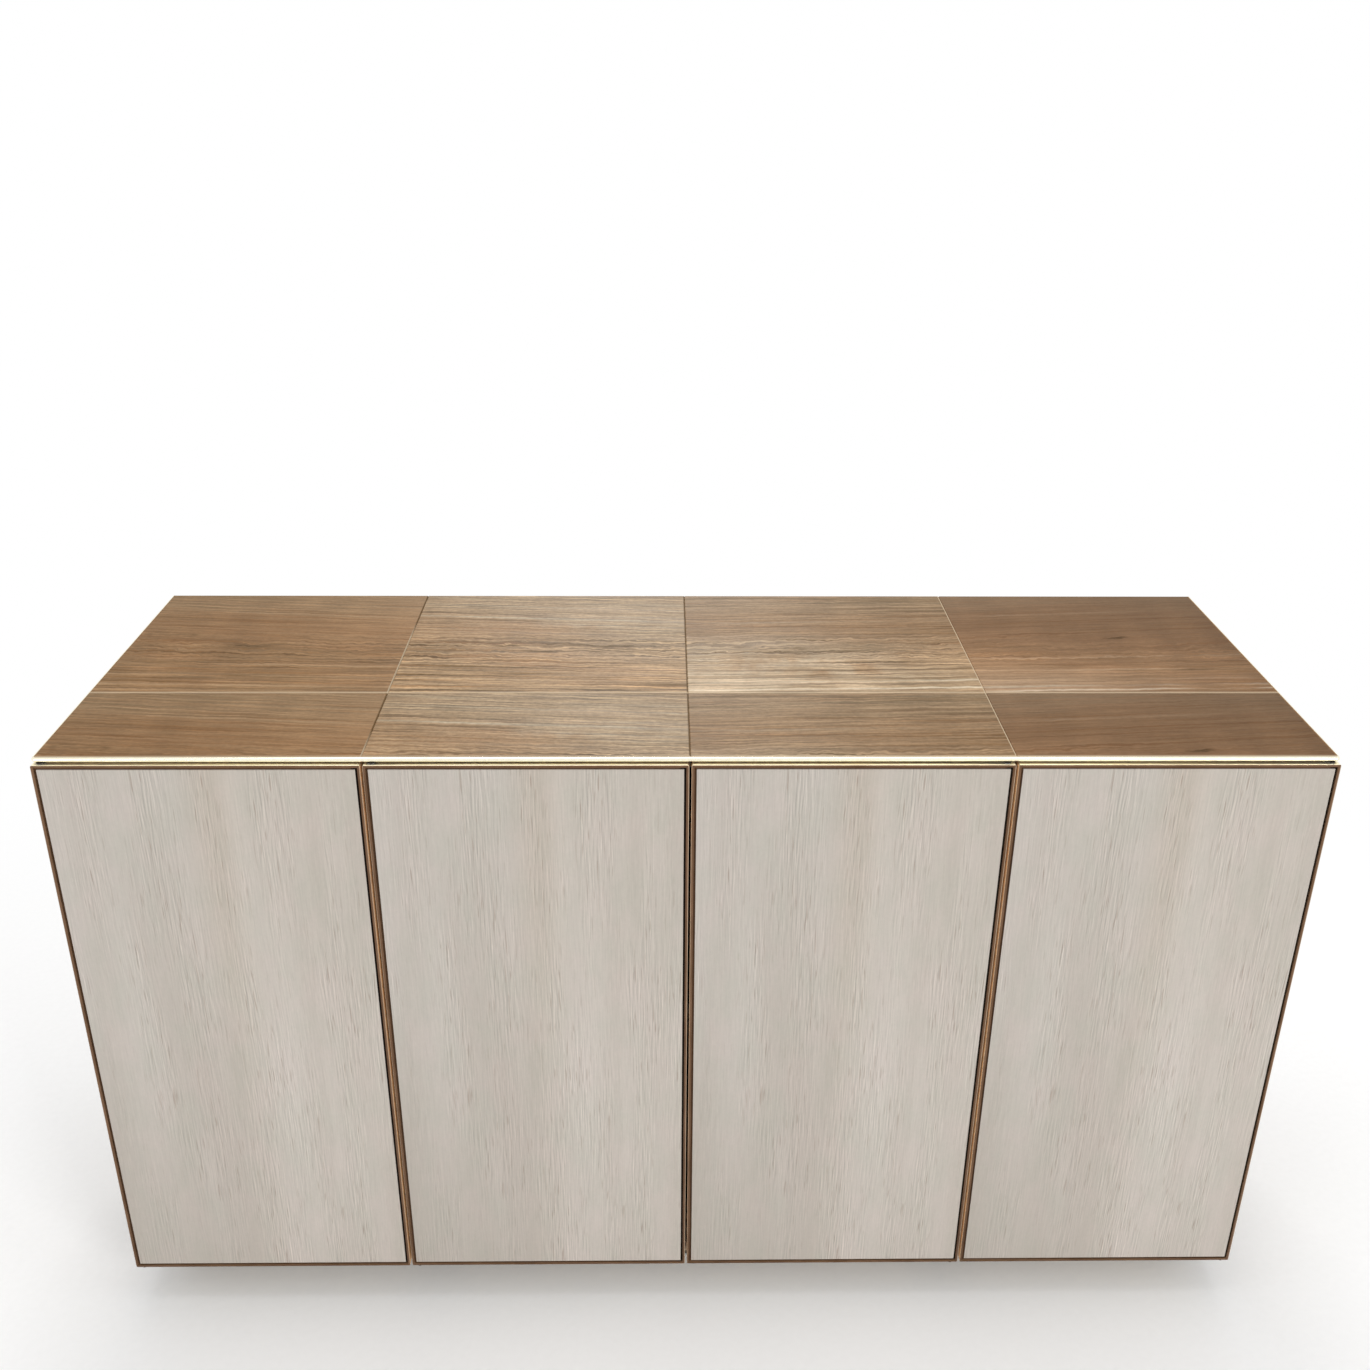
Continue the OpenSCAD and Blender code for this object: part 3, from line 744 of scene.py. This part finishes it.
def startTree(name, inputs):
    tree = bpy.data.node_groups.new(name, "GeometryNodeTree")
    tree.interface.new_socket(name="Geometry", in_out="INPUT", socket_type="NodeSocketGeometry")
    for label, kind in inputs.items():
        tree.interface.new_socket(name=label, in_out="INPUT", socket_type="NodeSocket" + kind)
    tree.interface.new_socket(name="Geometry", in_out="OUTPUT", socket_type="NodeSocketGeometry")
    return tree, addNode(tree, "NodeGroupInput").outputs


def endTree(tree, given, geometry):
    real = addNode(tree, "GeometryNodeRealizeInstances", {0: geometry})
    coat = addNode(tree, "GeometryNodeSetMaterial",
                   {"Geometry": real.outputs[0], "Material": given["Material"]})
    addNode(tree, "NodeGroupOutput", {0: coat.outputs[0]})
    return tree


def sweepAlong(tree, curve, profile):
    inputs = {"Curve": curve, "Profile Curve": profile, "Fill Caps": True}
    return addNode(tree, "GeometryNodeCurveToMesh", inputs).outputs[0]


def runTree(thing, tree, values):
    modifier = thing.modifiers.new("shape", "NODES")
    modifier.node_group = tree
    for item in tree.interface.items_tree:
        if item.item_type == "SOCKET" and item.in_out == "INPUT" and item.name in values:
            modifier[item.identifier] = values[item.name]
    piece = bakeModifiers(thing)
    # One slot: the instances bring an empty one with them
    piece.data.materials.clear()
    piece.data.materials.append(values["Material"])
    for face in piece.data.polygons:
        face.material_index = 0
    return piece


def shadeByAngle(piece, degrees):
    # Smooth where faces meet below the angle, sharp elsewhere
    mesh = piece.data
    bm = bmesh.new()
    bm.from_mesh(mesh)
    for face in bm.faces:
        face.smooth = True
    for edge in bm.edges:
        edge.smooth = edge.calc_face_angle(math.pi) < math.radians(degrees)
    bm.to_mesh(mesh)
    bm.free()
    return piece


def solidsOf(node):
    # The box of each separate solid in a node
    bm = bmesh.new()
    bm.from_mesh(mergedMesh(node, False))
    left = set(bm.verts)
    boxes = []
    while left:
        found = [left.pop()]
        for vert in found:
            for edge in vert.link_edges:
                other = edge.other_vert(vert)
                if other in left:
                    left.remove(other)
                    found.append(other)
        low = Vector([min(v.co[k] for v in found) for k in range(3)])
        high = Vector([max(v.co[k] for v in found) for k in range(3)])
        boxes.append((low, high))
    bm.free()
    return sorted(boxes, key=lambda pair: tuple(round(c, 5) for c in pair[0]))


# Nosing: a half-round strip swept along a path

nosing = {"steps": 17, "bendSteps": 8, "smooth": 40}


def sweepTree():
    tree, given = startTree("halfRoundSweep", {"Radius": "Float", "Steps": "Int", "Material": "Material"})
    upright = addNode(tree, "GeometryNodeSetCurveNormal", {"Curve": given["Geometry"]}, mode="Z_UP")
    half = {"Resolution": given["Steps"], "Radius": given["Radius"], "Start Angle": math.pi / 2,
            "Sweep Angle": math.pi}
    arc = addNode(tree, "GeometryNodeCurveArc", half, mode="RADIUS").outputs["Curve"]
    closed = addNode(tree, "GeometryNodeSetSplineCyclic", {"Geometry": arc, "Cyclic": True})
    return endTree(tree, given, sweepAlong(tree, upright.outputs[0], closed.outputs[0]))


def pathCurve(name, points):
    curve = bpy.data.curves.new(name, "CURVE")
    curve.dimensions = "3D"
    spline = curve.splines.new("POLY")
    spline.points.add(len(points) - 1)
    for dot, point in zip(spline.points, points):
        dot.co = (*point, 1)
    return newObject(name, curve)


def makeNosing():
    low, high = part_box("nosing_front")
    sideLow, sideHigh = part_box("nosing_right")
    radius = (high.z - low.z) / 2
    bend = high.y - low.y
    x, z = high.x - radius, high.z - radius
    tree = sweepTree()
    right = []
    for k in range(nosing["bendSteps"] + 1):
        angle = math.pi / 2 * k / nosing["bendSteps"]
        along, inward = math.cos(angle) * (bend - radius), math.sin(angle) * (bend - radius)
        right.append((high.x - bend + along, high.y - inward, z))
    left = [(-across, deep, z) for across, deep, z in reversed(right)]
    paths = {
        "nosing_front": ("nosingFront", right + left, brassAlongX),
        "nosing_right": ("nosingRight", [(x, sideHigh.y, z), (x, sideLow.y, z)], brassAlongY),
        "nosing_left": ("nosingLeft", [(-x, sideLow.y, z), (-x, sideHigh.y, z)], brassAlongY),
    }
    for node, (name, points, brass) in paths.items():
        values = {"Radius": radius, "Steps": nosing["steps"], "Material": brass}
        piece = runTree(pathCurve(name, points), tree, values)
        stand(shadeByAngle(piece, nosing["smooth"]), "brass", node)
    print("nosing done")


makeNosing()


# Doors: brass-edged, with the face panel inside a shadow groove

door = {"edgingEase": 0.0006, "panelEase": 0.0004, "coreEase": 0.0003, "strikeEase": 0.0003, "highlightRim": 0.0015}
edgingParts = {"front": 0, "arris": 1, "top": 2, "side": 3, "litInner": 4}


def panelShadedByFacing(normal, spot):
    # Painted shade: the groove colour down both sides and along the foot, which lie in shade, while the lit
    # top edge stays pale
    return 1 if abs(normal.x) > facing or normal.z < -facing else 0


def coreFace(normal, spot):
    # The groove colour in front, with its painted shadow down the right side; pale elsewhere
    return 0 if normal.y < -facing else 1


def makeDoor(i):
    low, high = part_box(f"door_edging_{i}")
    wood = paleBoard(f"paleDoor{i}", low, high)
    grooveStainAndShadow = stainedGrooveWithShadow(f"grooveStain{i}", high.x)
    edgingFrontShaded = brushedMetal(f"bronzeEdging{i}", "edgingFrontShade", "Z", 0.32, edges=(low.x, high.x))
    centre = (low + high) / 2
    half = (high - low) / 2

    def edgingLitByFacing(normal, spot):
        # Painted light and shade by facing: dark brown in front, bright on the door's outer sides, top and
        # foot, and a lighter brown than the front on the inner faces towards the panel
        if abs(normal.y) > facing:
            return edgingParts["front"]
        upright = abs(normal.x) > abs(normal.z)
        outward = normal.x * (spot.x - centre.x) > 0 if upright else normal.z * (spot.z - centre.z) > 0
        if outward:
            return edgingParts["side" if upright else "top"]
        return edgingParts["litInner"]

    edging = easedCopy(f"door_edging_{i}", f"doorEdging{i}",
                       [edgingFrontShaded, bronzeArris, litEdgeTop, litEdgeSide, bronzeInner],
                       "antique_brass", door["edgingEase"], 2, edgingParts["arris"], edgingLitByFacing)
    # Painted highlight: only the arrises round the door's outer rim stay bright; those round the panel take
    # the front's colour
    for face in edging.data.polygons:
        away = face.center - centre
        inside = abs(away.x) < half.x - door["highlightRim"] and abs(away.z) < half.z - door["highlightRim"]
        if face.material_index == edgingParts["arris"] and inside:
            face.material_index = edgingParts["front"]
    easedCopy(f"door_face_{i}", f"doorPanel{i}", [wood, grooveStainAndShadow], "pale_wood", door["panelEase"],
              arris=0, choose=panelShadedByFacing)
    easedCopy(f"door_core_{i}", f"doorCore{i}", [grooveStainAndShadow, wood], "core_board", door["coreEase"],
              choose=coreFace)
    nodes[f"door_bushes_{i}"].data.materials[0] = nylonWhite
    easedCopy(f"door_strike_{i}", f"doorStrike{i}", [steelPlain], "steel", door["strikeEase"])


for i in doorNumbers:
    makeDoor(i)
print("doors done")


# The top: each leaf keeps its CAD form and has its own figure

def makeTop():
    for i in doorNumbers:
        for row in ("front", "back"):
            node = f"leaf_{row}_{i}"
            low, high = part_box(node)
            nodes[node].data.materials[0] = walnutLeaf(i - 1, low, high, f"walnut_{row}_{i}")
    nodes["top_core"].data.materials[0] = coreBoard
    print("top done")


makeTop()


# The case, its shelves and the plinth

boards = {
    "sub_top": ("subTop", mapleAlong, "case_wood"),
    "bottom_panel": ("bottomPanel", mapleAlong, "case_wood"),
    "divider_left": ("dividerLeft", mapleUp, "case_wood"),
    "divider_right": ("dividerRight", mapleUp, "case_wood"),
    "back_panel": ("backPanel", backTimber, "core_board"),
    "shelf_left": ("shelfLeft", mapleAlong, "case_wood"),
    "shelf_middle": ("shelfMiddle", mapleAlong, "case_wood"),
    "shelf_right": ("shelfRight", mapleAlong, "case_wood"),
    "plinth_front": ("plinthFront", plinthAlong, "plinth_wood"),
    "plinth_back": ("plinthBack", plinthAlong, "plinth_wood"),
    "plinth_left": ("plinthLeft", plinthAcross, "plinth_wood"),
    "plinth_right": ("plinthRight", plinthAcross, "plinth_wood"),
}
boardEase = 0.0006


def makeCase():
    for node, (name, material, slot) in boards.items():
        easedCopy(node, name, [material], slot, boardEase)
    for side in ("left", "right"):
        low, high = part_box(f"end_panel_{side}")
        wood = paleBoard(f"paleEnd_{side}", low, high, "Y")
        easedCopy(f"end_panel_{side}", f"endPanel{side.title()}", [wood], "pale_wood", boardEase)
    print("case done")


makeCase()


# Fittings: turned and instanced pieces, smooth below an angle

fittingAngle = 35


def lathe(name, outline, steps=32):
    # Turns an outline of (radius, height) points about Z
    bm = bmesh.new()
    rings = []
    for radius, height in outline:
        if radius < mergeGap:
            rings.append([bm.verts.new((0, 0, height))])
            continue
        ring = []
        for k in range(steps):
            angle = 2 * math.pi * k / steps
            ring.append(bm.verts.new((radius * math.cos(angle), radius * math.sin(angle), height)))
        rings.append(ring)
    for a, b in zip(rings, rings[1:]):
        for k in range(steps):
            n = (k + 1) % steps
            corners = [a[k % len(a)], a[n % len(a)], b[n % len(b)], b[k % len(b)]]
            bm.faces.new(list(dict.fromkeys(corners)))
    bmesh.ops.recalc_face_normals(bm, faces=bm.faces)
    mesh = bpy.data.meshes.new(name)
    bm.to_mesh(mesh)
    bm.free()
    return newObject(name, mesh)


def instanceTree():
    inputs = {"Piece": "Object", "Spin": "Float", "Seed": "Int", "Material": "Material"}
    tree, given = startTree("pieceAtPoints", inputs)
    info = addNode(tree, "GeometryNodeObjectInfo", {"Object": given["Piece"]})
    aim = addNode(tree, "GeometryNodeInputNamedAttribute", {"Name": "aim"}, data_type="FLOAT_VECTOR")
    aimed = {"Points": given["Geometry"], "Instance": info.outputs["Geometry"],
             "Rotation": aim.outputs["Attribute"]}
    put = addNode(tree, "GeometryNodeInstanceOnPoints", aimed)
    spin = addNode(tree, "FunctionNodeRandomValue", {3: given["Spin"], "Seed": given["Seed"]},
                   data_type="FLOAT")
    turn = join(tree, 0, 0, spin.outputs[1])
    rotate = addNode(tree, "GeometryNodeRotateInstances", {"Instances": put.outputs[0], "Rotation": turn})
    return endTree(tree, given, rotate.outputs[0])


repeatTree = instanceTree()


def repeatPiece(name, source, spots, material, slot, node, spin=0.0, seed=1):
    # spots: a list of (point, aim), the aim as an Euler turn of the piece
    mesh = bpy.data.meshes.new(name)
    mesh.from_pydata([spot for spot, aim in spots], [], [])
    aims = mesh.attributes.new("aim", "FLOAT_VECTOR", "POINT")
    for k, (spot, aim) in enumerate(spots):
        aims.data[k].vector = aim
    values = {"Piece": source, "Spin": spin, "Seed": seed, "Material": material}
    piece = runTree(newObject(name, mesh), repeatTree, values)
    bpy.data.objects.remove(source)
    for attribute in list(piece.data.attributes):
        if attribute.name == "aim":
            piece.data.attributes.remove(attribute)
    return stand(shadeByAngle(piece, fittingAngle), slot, node)


# Shares are of the head's radius, or of the shank's for its thread;
# flange: thickness of the latches' plate; near: how close counts as the same height
screw = {
    "land": 0.0003, "headDeep": 0.0015, "topShare": 0.98, "shankShare": 0.52, "sides": 20,
    "threads": 9, "threadRise": 0.0005, "rootShare": 0.78,
    "pointDeep": 0.003, "tipDeep": 0.002, "tipShare": 0.7,
    "slotWidth": 0.0009, "slotShare": 1.15, "slotDeep": 0.0010,
    "flange": 0.003, "near": 0.001,
}


def makeScrews():
    boxes = solidsOf("case_screws")
    low, high = boxes[0]
    head, length = (high.x - low.x) / 2, high.z - low.z
    shank, neck = head * screw["shankShare"], screw["headDeep"]
    outline = [(0, 0), (head * screw["topShare"], 0), (head, -screw["land"]), (shank, -neck)]
    # Rolled thread down to a point
    pitch = (length - neck - screw["pointDeep"]) / screw["threads"]
    for k in range(screw["threads"]):
        top = -neck - pitch * (k + 0.5)
        outline += [(shank * screw["rootShare"], top), (shank, top - screw["threadRise"])]
    outline += [(shank * screw["tipShare"], screw["tipDeep"] - length), (0, -length)]
    body = lathe("screwBody", outline, screw["sides"])
    cutter = bpy.data.meshes.new("cross")
    bm = bmesh.new()
    slotLong = head * screw["slotShare"]
    for wide, deep in ((screw["slotWidth"], slotLong), (slotLong, screw["slotWidth"])):
        shape = Matrix.Diagonal((wide, deep, screw["slotDeep"] * 2, 1))
        bmesh.ops.create_cube(bm, size=1, matrix=shape)
    bm.to_mesh(cutter)
    bm.free()
    cross = newObject("cross", cutter)
    cut = body.modifiers.new("recess", "BOOLEAN")
    cut.operation = "DIFFERENCE"
    cut.solver = "EXACT"
    cut.use_self = True
    cut.object = cross
    source = bakeModifiers(body)
    bpy.data.objects.remove(cross)
    # Those of the lower plates and of the latches point up, the others down
    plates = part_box("bottom_pivots")[0].z
    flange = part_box("latch_housings")[1].z - screw["flange"]
    spots = []
    for low, high in boxes:
        x, y = (low.x + high.x) / 2, (low.y + high.y) / 2
        pointsUp = low.z < plates + screw["near"] or abs(low.z - flange) < screw["near"]
        spots.append(((x, y, low.z), (math.pi, 0, 0)) if pointsUp else ((x, y, high.z), (0, 0, 0)))
    repeatPiece("caseScrews", source, spots, steelPlain, "steel", "case_screws", math.pi, 7)
    print("screws:", len(spots))


makeScrews()


peg = {"ease": 0.0004, "waistShare": 0.88}


def makePegs():
    boxes = solidsOf("shelf_pegs")
    low, high = boxes[0]
    radius, half, ease = (high.z - low.z) / 2, (high.x - low.x) / 2, peg["ease"]
    outline = [(0, half), (radius - ease, half), (radius, half - ease), (radius, ease / 2),
               (radius * peg["waistShare"], 0),
               (radius, -ease / 2), (radius, ease - half), (radius - ease, -half), (0, -half)]
    source = lathe("pegBody", outline)
    spots = [((low + high) / 2, (0, math.pi / 2, 0)) for low, high in boxes]
    repeatPiece("shelfPegs", source, spots, steelPlain, "steel", "shelf_pegs")
    print("pegs:", len(spots))


makePegs()


# A glide's outline, as shares of its radius and height
glide = ((0, 0), (0.80, 0), (0.93, 0.10), (1, 0.35), (1, 0.8), (0.94, 1), (0, 1))


def makeGlides():
    boxes = solidsOf("glides")
    low, high = boxes[0]
    radius, height = (high.x - low.x) / 2, high.z - low.z
    source = lathe("glideBody", [(radius * out, height * up) for out, up in glide])
    spots = [(((low.x + high.x) / 2, (low.y + high.y) / 2, low.z), (0, 0, 0)) for low, high in boxes]
    repeatPiece("glides_set", source, spots, nylonGrey, "nylon", "glides")
    print("glides:", len(spots))


makeGlides()


# Latches: housings, plungers and their coil springs

latch = {"housingEase": 0.0006, "housingSegments": 3, "plungerEase": 0.0003, "press": 0.003}
spring = {"turns": 6.0, "wire": 0.00045, "sides": 10, "steps": 32, "smooth": 60}


def coilTree():
    inputs = {"Turns": "Float", "Coil Radius": "Float", "Wire Radius": "Float", "Length": "Float",
              "Steps": "Int", "Material": "Material"}
    tree, given = startTree("coilSpring", inputs)
    coil = {"Resolution": given["Steps"], "Rotations": given["Turns"], "Height": given["Length"],
            "Start Radius": given["Coil Radius"], "End Radius": given["Coil Radius"]}
    spiral = addNode(tree, "GeometryNodeCurveSpiral", coil)
    ring = {"Resolution": spring["sides"], "Radius": given["Wire Radius"]}
    wire = addNode(tree, "GeometryNodeCurvePrimitiveCircle", ring)
    return endTree(tree, given, sweepAlong(tree, spiral.outputs[0], wire.outputs[0]))


def makeLatches():
    tree = coilTree()
    easedCopy("latch_housings", "latchHousings", [nylonGrey], "nylon", latch["housingEase"],
              latch["housingSegments"])
    for i in doorNumbers:
        easedCopy(f"latch_plunger_{i}", f"latchPlunger{i}", [nylonWhite], "nylon", latch["plungerEase"])
        low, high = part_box(f"latch_spring_{i}")
        wire, length = spring["wire"], high.y - low.y
        values = {"Turns": spring["turns"], "Coil Radius": (high.x - low.x) / 2 - wire, "Wire Radius": wire,
                  "Length": length - 2 * wire, "Steps": spring["steps"], "Material": steelWire}
        coil = runTree(newObject(f"latchSpring{i}", bpy.data.meshes.new("empty")), tree, values)
        turn = Matrix.Translation(((low.x + high.x) / 2, low.y + wire, (low.z + high.z) / 2))
        coil.data.transform(turn @ Matrix.Rotation(-math.pi / 2, 4, "X"))
        stand(shadeByAngle(coil, spring["smooth"]), "steel", f"latch_spring_{i}")
        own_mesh(coil)
    print("latches done")


makeLatches()


pivotEase = 0.0003


def makePivots():
    for node, name in (("top_pivots", "topPivots"), ("bottom_pivots", "bottomPivots")):
        easedCopy(node, name, [steelBlack], "dark_steel", pivotEase)
    print("pivots done")


makePivots()


# Stage: a pale floor that runs into white, and soft lamps

# near, far: between these distances the floor fades to white; sideways only sideShare of one counts
stage = {"near": 0.9, "far": 1.9, "sideShare": 0.8, "floorTone": (0.95, 0.95, 0.95), "size": 60,
         "ambient": 0.66}
# Each lamp: its place, what it aims at, width and height, power
lamps = {
    "keySoftbox": ((4.4, -5.6, 3.4), (0, 0, 0.6), (2.4, 2.4), 175),
    "fillSoftbox": ((-4.4, -4.6, 2.2), (0, 0, 0.6), (2.4, 2.0), 56),
    "overheadSoftbox": ((0.0, 0.3, 3.8), (0, 0, 0.6), (3.0, 2.4), 32),
    "backSoftbox": ((-0.15, 3.6, 2.7), (-0.05, 0, 0.9), (1.3, 1.0), 50),
}
view = {"spot": (-0.035, -1.815, 1.724), "pitch": 24.77, "yaw": 1.02, "roll": 0.43, "lens": 36.86,
        "sensor": 36}


def seenDirectly(tree):
    # 1 for the camera, and for what metal and glass show
    path = addNode(tree, "ShaderNodeLightPath")
    share = calc(tree, "MAXIMUM", path.outputs["Is Camera Ray"], path.outputs["Is Glossy Ray"])
    return calc(tree, "MAXIMUM", share, path.outputs["Is Transmission Ray"])


def makeFloor():
    bm = bmesh.new()
    bmesh.ops.create_grid(bm, x_segments=8, y_segments=8, size=stage["size"])
    mesh = bpy.data.meshes.new("floor")
    bm.to_mesh(mesh)
    bm.free()
    floor = newObject("floor", mesh)
    material, tree = newMaterial("paleFloor")[:2]
    tree.nodes.clear()
    point = objectPoint(tree)
    reach = place(tree, point, scale=(stage["sideShare"], 1, 1))
    away = addNode(tree, "ShaderNodeVectorMath", {0: reach}, operation="LENGTH").outputs["Value"]
    fade = fit(tree, away, stage["near"], stage["far"], smooth=True)
    colour = vary(tree, stage["floorTone"], noise(tree, point, (90, 90, 90), 2), 0.99, 1.01)
    diffuse = addNode(tree, "ShaderNodeBsdfDiffuse", {"Color": colour}).outputs[0]
    glow = addNode(tree, "ShaderNodeEmission", {"Color": (1, 1, 1)}).outputs[0]
    share = times(tree, fade, seenDirectly(tree))
    blend = addNode(tree, "ShaderNodeMixShader", {0: share, 1: diffuse, 2: glow})
    addNode(tree, "ShaderNodeOutputMaterial", {"Surface": blend.outputs[0]})
    mesh.materials.append(material)


def makeWorld():
    world = bpy.data.worlds.new("studio")
    bpy.context.scene.world = world
    world.use_nodes = True
    tree = world.node_tree
    background = tree.nodes["Background"].inputs
    background["Color"].default_value = (1, 1, 1, 1)
    feed(tree, background["Strength"], fit(tree, seenDirectly(tree), 0, 1, stage["ambient"], 1.0))


def makeLamps():
    for name, (spot, target, size, power) in lamps.items():
        lamp = bpy.data.lights.new(name, "AREA")
        lamp.shape = "RECTANGLE"
        lamp.size, lamp.size_y = size
        lamp.energy = power
        thing = newObject(name, lamp)
        aim = (Vector(target) - Vector(spot)).to_track_quat("-Z", "Y")
        thing.matrix_world = Matrix.Translation(spot) @ aim.to_matrix().to_4x4()


def makeCamera():
    data = bpy.data.cameras.new("camera")
    data.sensor_width = view["sensor"]
    data.lens = view["lens"]
    camera = newObject("camera", data)
    pitch, yaw, roll = (math.radians(view[angle]) for angle in ("pitch", "yaw", "roll"))
    forward = Vector((math.sin(yaw) * math.cos(pitch), math.cos(yaw) * math.cos(pitch), -math.sin(pitch)))
    level = forward.cross(Vector((0, 0, 1))).normalized()
    above = level.cross(forward)
    right = math.cos(roll) * level + math.sin(roll) * above
    up = math.cos(roll) * above - math.sin(roll) * level
    turn = Matrix((right, up, -forward)).transposed().to_4x4()
    camera.matrix_world = Matrix.Translation(view["spot"]) @ turn
    bpy.context.scene.camera = camera


makeFloor()
makeWorld()
makeLamps()
makeCamera()
bpy.context.scene.view_settings.view_transform = "Standard"
print("stage done")
